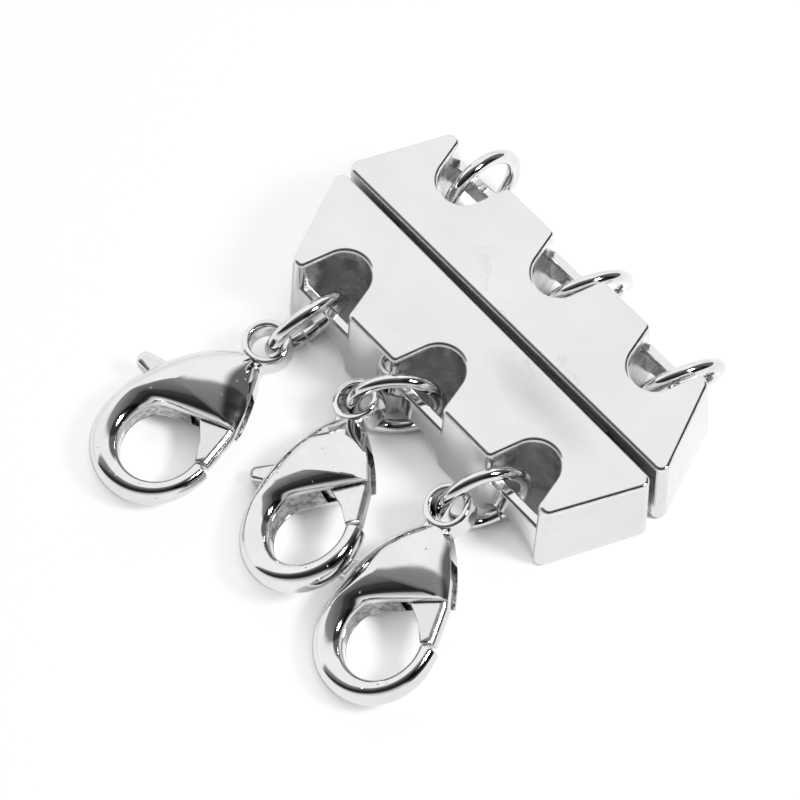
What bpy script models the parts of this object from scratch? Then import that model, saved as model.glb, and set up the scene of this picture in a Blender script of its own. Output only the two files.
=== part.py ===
"""Magnetic layering clasp: two cast bars that meet at magnets, six jump rings and three lobster claws.

All sizes below are millimetres. X runs along the seam, +Y points to the bar that pulls off, +Z is up.
The places below count from the middle of the seam; the finished part is then moved so that the origin
is in the middle of its footprint.
"""
import math

import bmesh
import bpy
from mathutils import Matrix, Vector

MM = 0.001
# Edges sharper than these angles stay crisp in the shading, or are square enough for a bevel
SHARP_ANGLE = 40.0
ROUND_SHARP_ANGLE = 60.0
WIRE_SHARP_ANGLE = 80.0
SQUARE_EDGE_ANGLE = 50.0

# Bars: two equal trapezoids whose long sides meet at the seam
SEAM_LENGTH = 25.0
BAR_WIDTH = 5.55
BAR_HEIGHT = 6.0
END_INSET = 2.47
FACE_DRAFT = 0.4
SEAM_GAP_LEFT = 0.29
SEAM_GAP_RIGHT = 0.51
SEAM_CORNER_RADIUS = 0.5
LIP_CORNER_RADIUS = 0.36
END_CORNER_RADIUS = 0.52
TOP_EDGE_RADIUS = 0.2
BOTTOM_EDGE_RADIUS = 0.34
CORNER_STEPS = 3
EDGE_STEPS = 2

# Notches: a round inner end, straight flared walls and a crossbar over each mouth
NOTCH_COUNT = 3
NOTCH_PITCH = 7.44
NOTCH_DEPTH = 2.9
NOTCH_RADIUS = 1.42
MOUTH_HALF = 1.88
NOTCH_STEPS = 10
CROSSBAR_TOP = 3.75
CROSSBAR_BOTTOM = 1.7
CROSSBAR_DEPTH = 0.65
CROSSBAR_SET_BACK = 0.04
CROSSBAR_BURIED = 0.3
CROSSBAR_EDGE = 0.22
ARCH_FOOT = 0.25
ARCH_CORNER = 1.1
ARCH_STEPS = 4

# Magnets: one bar magnet let into each mating face, standing slightly proud
MAGNET_SIZE = Vector((16.4, 1.9, 3.75))
MAGNET_MIDDLE_Z = 3.1
MAGNET_PROUD = 0.08
MAGNET_CLEARANCE = 0.1
MAGNET_EDGE = 0.12

# Jump rings
RING_RADIUS = 2.3
WIRE_RADIUS = 0.375
RING_SIDES = 16
WIRE_SIDES = 6

# Lobster claw, in its own frame: the origin is at the neck's eye end and +X points to the hook's far end
EYE_CENTRE = Vector((-0.3, -0.18, 0))
EYE_RADIUS = 1.12
EYE_WALL = 0.23
EYE_HALF_THICK = 0.72
EYE_SECTION_SIDES = 8
EYE_ROUNDNESS = 0.7
NECK_X = 0.8
NECK_HALF = 0.55
HOOK_X = 7.6
HOOK_OUTER = Vector((3.72, 3.58))
GATE_SIDE_HALF = 3.35
HOLE_Y = 0.37
HOLE = Vector((2.32, 2.15))
THUMB_SIDE_FULLNESS = 0.68
GATE_SIDE_FULLNESS = 0.9
DOME_OUTER_END_X = 5.1
RIM_CORNER_X = 4.3
HOOK_ANGLES = (-100.0, 98.0)
HOLE_ANGLES = (-128.0, 104.0)

# Claw sections, half-heights: the crown, and the lip where the dome ends in its wall
NECK_HALF_THICK = 0.62
DOME_HALF = 1.62
HOOK_HALF_THICK = 0.95
NOSE_HALF_THICK = 0.62
NECK_LIP_HALF = 0.3
LIP_HALF = 0.74
HOOK_LIP_HALF = 0.3
# How far across each section its crown lies, and how the surface falls from there to the lip
NECK_CROWN_SHARE = 0.45
CROWN_SHARE = 0.3
HOOK_CROWN_SHARE = 0.47
DOME_FALL_POWER = 2.0
HOOK_FALL_POWER = 2.6
DOME_FALL_ROOT = 0.8
HOOK_FALL_ROOT = 0.5
# How soon the dome reaches its height, how much of it goes along the rim, and how long the rest lasts
DOME_RISE_RATE = 1.5
RIM_DROP = 0.7
HOOK_FALL_RATE = 3.0
RIM_HOOK_SHARE = 0.4
NOSE_TAPER = 0.14
OUTER_STEPS = 3
INNER_STEPS = 3
DOME_SECTIONS = 6
RIM_SECTIONS = 4
HOOK_SECTIONS = 14

# Lever: thumb tab, web and gate in one plate, turning on a rivet through the claw's slot
PIVOT = Vector((3.1, 1.0))
RIVET_RADIUS = 0.37
RIVET_HALF = 1.2
RIVET_SIDES = 12
PIVOT_CLEARANCE = 0.08
LEVER_HALF_THICK = 0.5
LEVER_EDGE = 0.12
LEVER_OUTER_EDGE = 0.4
SLOT_HALF_THICK = 0.58
GATE_TIP_X = 6.95

# Where the rings and claws lie: centre and the direction that the ring's axis points
FRONT_RINGS = (
    (Vector((-7.88, -6.42, 2.69)), Vector((0.98, -0.087, -0.178))),
    (Vector((-1.2, -5.99, 2.72)), Vector((0.758, -0.645, 0.095))),
    (Vector((6.03, -6.22, 2.79)), Vector((0.921, -0.382, 0.076))),
)
BACK_RINGS = (
    (Vector((-7.67, 5.82, 2.74)), Vector((0.991, -0.018, 0.133))),
    (Vector((0.83, 5.69, 3.0)), Vector((0.916, -0.372, -0.147))),
    (Vector((7.97, 5.81, 3.11)), Vector((0.92, -0.33, -0.213))),
)
# Origin, heading, tip-down pitch and roll of each claw, angles in degrees
CLAWS = (
    (Vector((-8.34, -8.96, 2.0)), -90.5, 4.0, 1.8),
    (Vector((-2.38, -7.52, 2.15)), -64.3, 0.0, 21.0),
    (Vector((5.72, -8.38, 3.06)), -71.8, 10.0, 13.8),
)

SILVER = (0.86, 0.86, 0.87)
MAGNET_GREY = (0.42, 0.42, 0.43)


def clear_scene():
    for item in list(bpy.data.objects):
        bpy.data.objects.remove(item, do_unlink=True)


def make_material(name, colour, roughness):
    material = bpy.data.materials.new(name)
    material.use_nodes = True
    shader = material.node_tree.nodes["Principled BSDF"]
    shader.inputs["Base Color"].default_value = (*colour, 1.0)
    shader.inputs["Metallic"].default_value = 1.0
    shader.inputs["Roughness"].default_value = roughness
    return material


def object_from_bmesh(name, shape, sharp_angle=SHARP_ANGLE):
    """Turn a bmesh in millimetres into a linked, smooth-shaded object in metres."""
    bmesh.ops.scale(shape, vec=(MM, MM, MM), verts=shape.verts)
    bmesh.ops.recalc_face_normals(shape, faces=shape.faces)
    mesh = bpy.data.meshes.new(name)
    shape.to_mesh(mesh)
    shape.free()
    mesh.shade_smooth()
    mesh.set_sharp_from_angle(angle=math.radians(sharp_angle))
    item = bpy.data.objects.new(name, mesh)
    bpy.context.scene.collection.objects.link(item)
    return item


def combine(target, tool, operation):
    """Join a tool to the target or cut it away, with the tool kept as a hidden guide."""
    boolean = target.modifiers.new(tool.name, "BOOLEAN")
    boolean.operation = operation
    boolean.solver = "EXACT"
    boolean.object = tool
    tool.hide_render = True
    tool.display_type = "WIRE"


def baked_mesh(item, name):
    """Mesh of an object with its modifiers applied."""
    graph = bpy.context.evaluated_depsgraph_get()
    mesh = bpy.data.meshes.new_from_object(item.evaluated_get(graph))
    mesh.name = name
    return mesh


def remove_all(items):
    for item in items:
        bpy.data.objects.remove(item, do_unlink=True)


def bridge_rings(shape, rings, closed=False):
    """Faces between rings of vertices, with the two ends capped unless the rings close on themselves."""
    count = len(rings)
    for index in range(count if closed else count - 1):
        lower = rings[index]
        upper = rings[(index + 1) % count]
        for side in range(len(lower)):
            after = (side + 1) % len(lower)
            shape.faces.new((lower[side], lower[after], upper[after], upper[side]))
    if not closed:
        shape.faces.new(rings[0])
        shape.faces.new(rings[-1])


def rounded_outline(corners):
    """Points of a closed outline whose (x, y, radius) corners are replaced by arcs."""
    points = []
    for index, (x, y, radius) in enumerate(corners):
        corner = Vector((x, y))
        if radius == 0:
            points.append(corner)
            continue
        before = Vector(corners[index - 1][:2]) - corner
        after = Vector(corners[(index + 1) % len(corners)][:2]) - corner
        half_angle = before.angle(after) / 2
        middle = corner + (before.normalized() + after.normalized()).normalized() * radius / math.sin(half_angle)
        start = corner + before.normalized() * radius / math.tan(half_angle) - middle
        finish = corner + after.normalized() * radius / math.tan(half_angle) - middle
        turn = math.atan2(start.x * finish.y - start.y * finish.x, start.dot(finish))
        for step in range(CORNER_STEPS + 1):
            points.append(middle + Matrix.Rotation(turn * step / CORNER_STEPS, 2) @ start)
    return points


def inset_outline(points, distance):
    """The counter-clockwise outline moved inwards by a distance, with mitred corners."""
    moved = []
    for index, point in enumerate(points):
        before = (point - points[index - 1]).normalized()
        after = (points[(index + 1) % len(points)] - point).normalized()
        normals = Vector((-before.y, before.x)) + Vector((-after.y, after.x))
        moved.append(point + normals * 2 * distance / normals.length_squared)
    return moved


def notch_corners(middle_x):
    """Corners of one notch, from its right lip to its left lip."""
    centre = Vector((middle_x, BAR_WIDTH - NOTCH_DEPTH + NOTCH_RADIUS))
    to_lip = Vector((MOUTH_HALF, BAR_WIDTH - centre.y))
    tangent = math.atan2(to_lip.y, to_lip.x) - math.acos(NOTCH_RADIUS / to_lip.length)
    corners = [(middle_x + MOUTH_HALF, BAR_WIDTH, LIP_CORNER_RADIUS)]
    sweep = -math.pi - 2 * tangent
    for step in range(NOTCH_STEPS + 1):
        angle = tangent + sweep * step / NOTCH_STEPS
        corners.append((centre.x + NOTCH_RADIUS * math.cos(angle), centre.y + NOTCH_RADIUS * math.sin(angle), 0))
    corners.append((middle_x - MOUTH_HALF, BAR_WIDTH, LIP_CORNER_RADIUS))
    return corners


def notch_middles():
    return [(index - (NOTCH_COUNT - 1) / 2) * NOTCH_PITCH for index in range(NOTCH_COUNT)]


def bar_outline():
    half = SEAM_LENGTH / 2
    corners = [
        (-half, 0, SEAM_CORNER_RADIUS),
        (half, 0, SEAM_CORNER_RADIUS),
        (half - END_INSET, BAR_WIDTH, END_CORNER_RADIUS),
    ]
    for middle_x in reversed(notch_middles()):
        corners += notch_corners(middle_x)
    corners.append((-half + END_INSET, BAR_WIDTH, END_CORNER_RADIUS))
    return rounded_outline(corners)


def edge_levels():
    """Heights and insets that round the bottom and top edges of a bar."""
    levels = []
    for step in range(EDGE_STEPS + 1):
        angle = math.pi / 2 * step / EDGE_STEPS
        levels.append((BOTTOM_EDGE_RADIUS * (1 - math.cos(angle)), BOTTOM_EDGE_RADIUS * (1 - math.sin(angle))))
    for step in range(EDGE_STEPS + 1):
        angle = math.pi / 2 * step / EDGE_STEPS
        levels.append((BAR_HEIGHT - TOP_EDGE_RADIUS * (1 - math.sin(angle)), TOP_EDGE_RADIUS * (1 - math.cos(angle))))
    return levels


def drafted(point, height):
    """Lean the outer face outwards towards the bottom, and leave the rest of the bar upright."""
    lean_start = BAR_WIDTH - NOTCH_DEPTH / 2
    share = max(0.0, (point.y - lean_start) / (BAR_WIDTH - lean_start))
    return Vector((point.x, point.y + FACE_DRAFT * share * (1 - height / BAR_HEIGHT), height))


def make_bar_body(name):
    shape = bmesh.new()
    outline = bar_outline()
    rings = []
    for height, inset in edge_levels():
        ring = [shape.verts.new(drafted(point, height)) for point in inset_outline(outline, inset)]
        rings.append(ring)
    bridge_rings(shape, rings)
    return object_from_bmesh(name, shape)


def make_crossbar(name, middle_x):
    """Crossbar over a notch's mouth, with an arch under it that runs down into both teeth."""
    half = MOUTH_HALF + CROSSBAR_BURIED
    profile = [(half, CROSSBAR_TOP), (-half, CROSSBAR_TOP), (-half, ARCH_FOOT)]
    arch_height = CROSSBAR_BOTTOM - ARCH_FOOT
    for side in (-1, 1):
        for step in range(ARCH_STEPS + 1):
            angle = math.pi / 2 * (step if side < 0 else ARCH_STEPS - step) / ARCH_STEPS
            x = side * (MOUTH_HALF - ARCH_CORNER * (1 - math.cos(angle)))
            profile.append((x, ARCH_FOOT + arch_height * math.sin(angle)))
    profile.append((half, ARCH_FOOT))
    shape = bmesh.new()
    rings = []
    for depth in (CROSSBAR_SET_BACK, CROSSBAR_DEPTH):
        ring = []
        for x, z in profile:
            outer_y = BAR_WIDTH + FACE_DRAFT * (1 - z / BAR_HEIGHT)
            ring.append(shape.verts.new((middle_x + x, outer_y - depth, z)))
        rings.append(ring)
    bridge_rings(shape, rings)
    crossbar = object_from_bmesh(name, shape)
    bevel = crossbar.modifiers.new("Edge", "BEVEL")
    bevel.width = CROSSBAR_EDGE * MM
    bevel.segments = 1
    bevel.limit_method = "ANGLE"
    bevel.angle_limit = math.radians(SQUARE_EDGE_ANGLE)
    return crossbar


def make_block(name, size, middle, edge=0.0):
    shape = bmesh.new()
    bmesh.ops.create_cube(shape, size=1.0)
    bmesh.ops.scale(shape, vec=size, verts=shape.verts)
    bmesh.ops.translate(shape, vec=middle, verts=shape.verts)
    if edge > 0:
        bmesh.ops.bevel(shape, geom=shape.edges[:], offset=edge, segments=1, affect="EDGES")
    return object_from_bmesh(name, shape)


def magnet_middle():
    return Vector((0, MAGNET_SIZE.y / 2 - MAGNET_PROUD, MAGNET_MIDDLE_Z))


def bar_mesh():
    """One cast bar in its own frame: the mating face at y = 0 and the outer face towards +Y."""
    body = make_bar_body("bar_body")
    tools = []
    for index, middle_x in enumerate(notch_middles()):
        tools.append(make_crossbar("crossbar_%d" % index, middle_x))
        combine(body, tools[-1], "UNION")
    clearance = Vector((1, 1, 1)) * 2 * MAGNET_CLEARANCE
    tools.append(make_block("pocket", MAGNET_SIZE + clearance, magnet_middle()))
    combine(body, tools[-1], "DIFFERENCE")
    mesh = baked_mesh(body, "bar")
    remove_all([body] + tools)
    return mesh


def magnet_mesh():
    magnet = make_block("magnet_block", MAGNET_SIZE, magnet_middle(), MAGNET_EDGE)
    mesh = baked_mesh(magnet, "magnet")
    remove_all([magnet])
    return mesh


def rounded_power(value, roundness):
    return math.copysign(abs(value) ** roundness, value)


def ring_mesh(name, radius, half_wide, half_thick, sides, wire_sides, roundness=1.0):
    """A closed ring about Z whose wire has a round section, or a boxier one at a roundness under one."""
    shape = bmesh.new()
    rings = []
    for side in range(sides):
        angle = 2 * math.pi * side / sides
        ring = []
        for corner in range(wire_sides):
            turn = 2 * math.pi * (corner + 0.5) / wire_sides
            reach = radius + half_wide * rounded_power(math.cos(turn), roundness)
            height = half_thick * rounded_power(math.sin(turn), roundness)
            ring.append(shape.verts.new((reach * math.cos(angle), reach * math.sin(angle), height)))
        rings.append(ring)
    bridge_rings(shape, rings, closed=True)
    return object_from_bmesh(name, shape, WIRE_SHARP_ANGLE)


def jump_ring_mesh():
    ring = ring_mesh("jump_ring_wire", RING_RADIUS, WIRE_RADIUS, WIRE_RADIUS, RING_SIDES, WIRE_SIDES)
    mesh = baked_mesh(ring, "jump_ring")
    remove_all([ring])
    return mesh


def teardrop_y(x, widest, fullness):
    """Half-width of the claw's teardrop outline between the neck and the hook's widest place."""
    share = (x - NECK_X) / (HOOK_X - NECK_X)
    return NECK_HALF + (widest - NECK_HALF) * math.sin(math.pi / 2 * share ** fullness)


def on_ellipse(centre, size, degrees):
    angle = math.radians(degrees)
    return Vector((centre.x + size.x * math.cos(angle), centre.y + size.y * math.sin(angle)))


def between(first, second, share):
    return first + (second - first) * share


def thumb_side_point(x):
    return Vector((x, -teardrop_y(x, HOOK_OUTER.y, THUMB_SIDE_FULLNESS)))


def gate_side_point(x):
    return Vector((x, teardrop_y(x, GATE_SIDE_HALF, GATE_SIDE_FULLNESS)))


def claw_sections():
    """Outer point, inner point, crown and lip heights and hook share of each section, from neck to nose."""
    hook_centre = Vector((HOOK_X, 0))
    hole_centre = Vector((HOOK_X, HOLE_Y))
    sections = []
    for index in range(DOME_SECTIONS):
        share = index / (DOME_SECTIONS - 1)
        outer = thumb_side_point(between(NECK_X, DOME_OUTER_END_X, share))
        inner = gate_side_point(between(NECK_X, RIM_CORNER_X, share))
        rise = math.sin(math.pi / 2 * min(1.0, DOME_RISE_RATE * share))
        crown = between(NECK_HALF_THICK, DOME_HALF, rise)
        sections.append((outer, inner, crown, between(NECK_LIP_HALF, LIP_HALF, rise), 0.0))
    rim_corner = sections[-1][1]
    rim_end = on_ellipse(hole_centre, HOLE, HOLE_ANGLES[0])
    hook_start = on_ellipse(hook_centre, HOOK_OUTER, HOOK_ANGLES[0])
    for index in range(1, RIM_SECTIONS):
        share = index / RIM_SECTIONS
        outer = thumb_side_point(between(DOME_OUTER_END_X, hook_start.x, share))
        crown = between(DOME_HALF, HOOK_HALF_THICK, RIM_DROP * share)
        sections.append((outer, rim_corner.lerp(rim_end, share), crown, LIP_HALF, RIM_HOOK_SHARE * share))
    for index in range(HOOK_SECTIONS + 1):
        share = index / HOOK_SECTIONS
        outer = on_ellipse(hook_centre, HOOK_OUTER, between(*HOOK_ANGLES, share))
        inner = on_ellipse(hole_centre, HOLE, between(*HOLE_ANGLES, share))
        fall = max(0.0, 1 - HOOK_FALL_RATE * share) ** 2
        crown = between(HOOK_HALF_THICK, DOME_HALF, (1 - RIM_DROP) * fall)
        crown += (NOSE_HALF_THICK - HOOK_HALF_THICK) * share ** 3
        lip = between(HOOK_LIP_HALF, LIP_HALF, fall)
        sections.append((outer.lerp(inner, NOSE_TAPER * share ** 6), inner, crown, lip,
                         1 - (1 - RIM_HOOK_SHARE) * fall))
    return sections


def section_points(outer, inner, crown, lip, hook, crown_share):
    """One section: from the outer edge over the crown to the lip, down the wall and back underneath."""
    upper = []
    for step in range(OUTER_STEPS):
        angle = math.pi / 2 * step / OUTER_STEPS
        upper.append((crown_share * (1 - math.cos(angle)), crown * math.sin(angle)))
    power = between(DOME_FALL_POWER, HOOK_FALL_POWER, hook)
    root = between(DOME_FALL_ROOT, HOOK_FALL_ROOT, hook)
    for step in range(INNER_STEPS + 1):
        way = math.sin(math.pi / 2 * step / INNER_STEPS)
        upper.append((between(crown_share, 1, way), lip + (crown - lip) * (1 - way ** power) ** root))
    points = []
    for share, height in upper + [(share, -height) for share, height in reversed(upper[1:])]:
        place = outer.lerp(inner, share)
        points.append(Vector((place.x, place.y, height)))
    return points


def make_claw_shell():
    """The claw's teardrop dome and hook as one strip of crowned sections."""
    shape = bmesh.new()
    rings = []
    for index, section in enumerate(claw_sections()):
        crown_share = between(NECK_CROWN_SHARE, CROWN_SHARE, min(1.0, index / DOME_SECTIONS))
        crown_share += (HOOK_CROWN_SHARE - CROWN_SHARE) * section[-1]
        rings.append([shape.verts.new(point) for point in section_points(*section, crown_share)])
    bridge_rings(shape, rings)
    return object_from_bmesh("claw_shell", shape, ROUND_SHARP_ANGLE)


def make_plate(name, outline, half_thick):
    shape = bmesh.new()
    rings = []
    for height in (-half_thick, half_thick):
        rings.append([shape.verts.new((point.x, point.y, height)) for point in outline])
    bridge_rings(shape, rings)
    return object_from_bmesh(name, shape)


def make_post(name, radius, half_height):
    shape = bmesh.new()
    place = Matrix.Translation((PIVOT.x, PIVOT.y, 0))
    bmesh.ops.create_cone(shape, cap_ends=True, segments=RIVET_SIDES, radius1=radius, radius2=radius,
                          depth=2 * half_height, matrix=place)
    return object_from_bmesh(name, shape)


def slot_outline():
    """Plan of the slot that the lever turns in, open to both sides of the claw and to its hole."""
    return [Vector(point) for point in (
        (2.2, 3.4), (2.2, 0.0), (1.9, -1.6), (1.9, -3.6), (5.85, -4.4), (5.6, -2.6), (5.36, -1.2), (5.36, 0.2),
        (6.4, 1.0), (6.4, 3.4),
    )]


def claw_mesh():
    """Claw body: shell, eye and rivet in one solid, with the lever's slot cut through it."""
    shell = make_claw_shell()
    eye = ring_mesh("eye", EYE_RADIUS, EYE_WALL, EYE_HALF_THICK, RING_SIDES, EYE_SECTION_SIDES, EYE_ROUNDNESS)
    slot = make_plate("slot", slot_outline(), SLOT_HALF_THICK)
    rivet = make_post("rivet", RIVET_RADIUS, RIVET_HALF)
    eye.location = EYE_CENTRE * MM
    combine(shell, eye, "UNION")
    combine(shell, slot, "DIFFERENCE")
    combine(shell, rivet, "UNION")
    mesh = baked_mesh(shell, "claw")
    remove_all([shell, eye, slot, rivet])
    return mesh


def lever_outline():
    """Plan of the lever: gate tip, round the pivot boss, thumb tab, web and the gate's inner edge."""
    return rounded_outline([
        (GATE_TIP_X - 0.27, 3.12, 0), (4.6, 2.72, 0), (3.1, 1.98, 0.4), (2.42, 1.3, 0.4), (2.5, 0.3, 0.4),
        (4.0, -2.3, 0), (4.62, -4.42, 0.34), (5.5, -4.38, 0.34), (5.4, -2.6, 0), (5.12, -1.2, 0),
        (5.28, 0.2, 0), (5.14, 0.66, 0), (6.0, 1.7, 0), (GATE_TIP_X, 2.38, 0),
    ])


def lever_edges(outline):
    """Edge chamfer at each point: a little all round, and more on the side that faces out of the claw."""
    edges = []
    for index in range(len(outline)):
        along = (outline[(index + 1) % len(outline)] - outline[index - 1]).normalized()
        edges.append(between(LEVER_EDGE, LEVER_OUTER_EDGE, max(0.0, -along.x) ** 3))
    return edges


def make_lever_plate():
    shape = bmesh.new()
    outline = lever_outline()
    edges = lever_edges(outline)
    inward = [inner - outer for inner, outer in zip(inset_outline(outline, 1.0), outline)]
    rings = []
    for side, inset_share in ((-1, 1), (-1, 0), (1, 0), (1, 1)):
        ring = []
        for point, edge, direction in zip(outline, edges, inward):
            place = point + direction * edge * inset_share
            height = LEVER_HALF_THICK - edge * (1 - inset_share)
            ring.append(shape.verts.new((place.x, place.y, side * height)))
        rings.append(ring)
    bridge_rings(shape, rings)
    return object_from_bmesh("lever_plate", shape)


def lever_mesh():
    """Lever with its pivot hole, moved so that the pivot axis is its own origin."""
    plate = make_lever_plate()
    hole = make_post("pivot_hole", RIVET_RADIUS + PIVOT_CLEARANCE, RIVET_HALF)
    combine(plate, hole, "DIFFERENCE")
    mesh = baked_mesh(plate, "lever")
    mesh.transform(Matrix.Translation((-PIVOT.x * MM, -PIVOT.y * MM, 0)))
    remove_all([plate, hole])
    return mesh


def place(name, mesh, material, matrix):
    """A named object that shows a shared mesh, at a place given in millimetres."""
    item = bpy.data.objects.new(name, mesh)
    if not mesh.materials:
        mesh.materials.append(material)
    moved = matrix.copy()
    moved.translation = matrix.translation * MM
    item.matrix_world = moved
    bpy.context.scene.collection.objects.link(item)
    return item


def front_place():
    return Matrix.Rotation(math.pi, 4, "Z")


def back_place():
    """The back bar lies a little askew, so that its seam is wider at the right-hand end."""
    yaw = (SEAM_GAP_RIGHT - SEAM_GAP_LEFT) / SEAM_LENGTH
    middle_gap = (SEAM_GAP_LEFT + SEAM_GAP_RIGHT) / 2
    return Matrix.Translation((0, middle_gap, 0)) @ Matrix.Rotation(yaw, 4, "Z")


def claw_place(origin, heading, pitch, roll):
    turn = Matrix.Rotation(math.radians(heading), 4, "Z")
    turn = turn @ Matrix.Rotation(math.radians(pitch), 4, "Y")
    turn = turn @ Matrix.Rotation(math.radians(roll), 4, "X")
    return Matrix.Translation(origin) @ turn


def ring_place(centre, axis):
    return Matrix.Translation(centre) @ axis.to_track_quat("Z", "Y").to_matrix().to_4x4()


def centre_on_footprint(items):
    """Move all pieces so that the origin is in the middle of their footprint, at their lowest height."""
    corners = []
    for item in items:
        corners += [item.matrix_world @ vertex.co for vertex in item.data.vertices]
    low = Vector([min(corner[axis] for corner in corners) for axis in range(3)])
    high = Vector([max(corner[axis] for corner in corners) for axis in range(3)])
    middle = (low + high) / 2
    shift = Matrix.Translation((-middle.x, -middle.y, -low.z))
    for item in items:
        item.matrix_world = shift @ item.matrix_world


def build():
    clear_scene()
    bar_metal = make_material("bar_metal", SILVER, 0.12)
    ring_metal = make_material("ring_metal", SILVER, 0.1)
    claw_metal = make_material("claw_metal", SILVER, 0.1)
    lever_metal = make_material("lever_metal", SILVER, 0.14)
    magnet_metal = make_material("magnet_metal", MAGNET_GREY, 0.35)
    bar = bar_mesh()
    magnet = magnet_mesh()
    jump_ring = jump_ring_mesh()
    claw = claw_mesh()
    lever = lever_mesh()
    items = [
        place("front_bar", bar, bar_metal, front_place()),
        place("front_magnet", magnet, magnet_metal, front_place()),
        place("back_bar", bar, bar_metal, back_place()),
        place("back_magnet", magnet, magnet_metal, back_place()),
    ]
    for side, rings in (("front", FRONT_RINGS), ("back", BACK_RINGS)):
        for index, (centre, axis) in enumerate(rings):
            name = "%s_ring_%d" % (side, index + 1)
            items.append(place(name, jump_ring, ring_metal, ring_place(centre, axis)))
    for index, pose in enumerate(CLAWS):
        matrix = claw_place(*pose)
        pivot = matrix @ Matrix.Translation((PIVOT.x, PIVOT.y, 0))
        items.append(place("claw_%d" % (index + 1), claw, claw_metal, matrix))
        items.append(place("lever_%d" % (index + 1), lever, lever_metal, pivot))
    centre_on_footprint(items)


build()
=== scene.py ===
"""The polished look of a magnetic layering clasp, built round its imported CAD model.

Sizes are in millimetres until a piece is finished. The design's own origin is the middle of the seam,
on the surface that the clasp lies on; in_frame() moves a finished piece from there into the CAD frame.
"""
import math

import bmesh
import bpy
from mathutils import Matrix, Vector


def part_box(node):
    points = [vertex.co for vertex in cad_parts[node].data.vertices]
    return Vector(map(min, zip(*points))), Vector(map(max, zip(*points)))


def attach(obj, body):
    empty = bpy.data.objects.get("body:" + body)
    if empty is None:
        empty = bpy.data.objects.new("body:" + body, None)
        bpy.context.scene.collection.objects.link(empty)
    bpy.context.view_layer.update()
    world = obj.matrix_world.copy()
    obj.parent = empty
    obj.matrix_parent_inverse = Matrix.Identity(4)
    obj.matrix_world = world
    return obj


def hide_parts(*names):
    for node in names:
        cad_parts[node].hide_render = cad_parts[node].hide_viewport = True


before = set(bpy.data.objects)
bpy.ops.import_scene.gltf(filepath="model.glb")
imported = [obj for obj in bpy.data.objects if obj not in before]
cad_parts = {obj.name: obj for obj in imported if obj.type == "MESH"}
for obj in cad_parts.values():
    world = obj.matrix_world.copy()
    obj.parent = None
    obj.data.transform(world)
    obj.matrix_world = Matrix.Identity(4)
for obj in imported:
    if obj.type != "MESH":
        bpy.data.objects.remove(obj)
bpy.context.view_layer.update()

MM = 0.001

# Bars, as in the CAD source, with finer steps round their corners and edges
SEAM_LENGTH = 25.0
BAR_WIDTH = 5.55
BAR_HEIGHT = 6.0
END_INSET = 2.47
FACE_DRAFT = 0.4
SEAM_GAP_LEFT = 0.29
SEAM_GAP_RIGHT = 0.51
SEAM_CORNER_RADIUS = 0.5
SEAM_FLATNESS = 0.005
LIP_CORNER_RADIUS = 0.36
END_CORNER_RADIUS = 0.52
TOP_EDGE_RADIUS = 0.2
BOTTOM_EDGE_RADIUS = 0.34
CORNER_STEPS = 8
EDGE_STEPS = 7
# Rings of the top edge that carry the rubbed finish with its painted highlight
BURNISHED_HIGHLIGHT_STEPS = 4
# Material slots: slot 0 is the mirror plate, slot 1 a bar's notch walls or a claw's inner wall
WALL_SLOT, SEAM_SLOT, EDGE_SLOT = 1, 2, 3
NOTCH_COUNT = 3
NOTCH_PITCH = 7.44
NOTCH_DEPTH = 2.9
NOTCH_RADIUS = 1.42
MOUTH_HALF = 1.88
NOTCH_STEPS = 36
CROSSBAR_TOP = 3.75
CROSSBAR_BOTTOM = 1.7
CROSSBAR_DEPTH = 0.65
CROSSBAR_SET_BACK = 0.04
CROSSBAR_BURIED = 0.3
CROSSBAR_ROUNDING = 0.26
ARCH_FOOT = 0.25
ARCH_CORNER = 1.1
ARCH_STEPS = 12
POCKET_SIZE = Vector((16.6, 2.1, 3.95))
POCKET_PROUD = 0.18
POCKET_MIDDLE_Z = 3.1

# Jump rings
RING_RADIUS = 2.3
WIRE_RADIUS = 0.385
RING_SWEEP = 356.5
RING_STEPS = 96
WIRE_STEPS = 20

# Lobster claw, as in the CAD source
EYE_CENTRE = Vector((-0.3, -0.18, 0))
EYE_RADIUS = 1.12
EYE_WALL = 0.24
EYE_HALF_THICK = 0.74
EYE_ROUNDNESS = 0.55
EYE_STEPS = 72
EYE_WIRE_STEPS = 28
NECK_X = 0.8
NECK_HALF = 0.55
HOOK_X = 7.6
HOOK_OUTER = Vector((3.74, 3.6))
GATE_SIDE_HALF = 3.35
HOLE_Y = 0.37
HOLE = Vector((2.32, 2.15))
THUMB_SIDE_FULLNESS = 0.68
GATE_SIDE_FULLNESS = 0.9
DOME_OUTER_END_X = 5.1
RIM_CORNER_X = 4.3
HOOK_ANGLES = (-100.0, 98.0)
HOLE_ANGLES = (-128.0, 104.0)
# Half heights of the claw's crown and of the lip round its hole
NECK_HALF_THICK = 0.62
DOME_HALF = 1.62
HOOK_HALF_THICK = 0.95
NOSE_HALF_THICK = 0.62
NECK_LIP_HALF = 0.3
LIP_HALF = 0.7
HOOK_LIP_HALF = 0.3
LIP_ROUNDING = 0.06
# Where the crown lies across a section, and how it falls from there to the lip
NECK_CROWN_SHARE = 0.45
CROWN_SHARE = 0.3
HOOK_CROWN_SHARE = 0.47
DOME_FALL_POWER = 2.0
HOOK_FALL_POWER = 2.6
DOME_FALL_ROOT = 1.25
HOOK_FALL_ROOT = 2.0
# How the crown rises from the neck, drops along the rim and runs out along the hook
DOME_RISE_RATE = 1.5
RIM_DROP = 0.7
RIM_DROP_LEFT = 0.3
HOOK_FALL_RATE = 3
RIM_HOOK_SHARE = 0.4
# Rounds of smoothing along the claw
OUTLINE_FAIRING = 30
RIM_FAIRING = 6
CROWN_FAIRING = 60
LIP_FAIRING = 20
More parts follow.
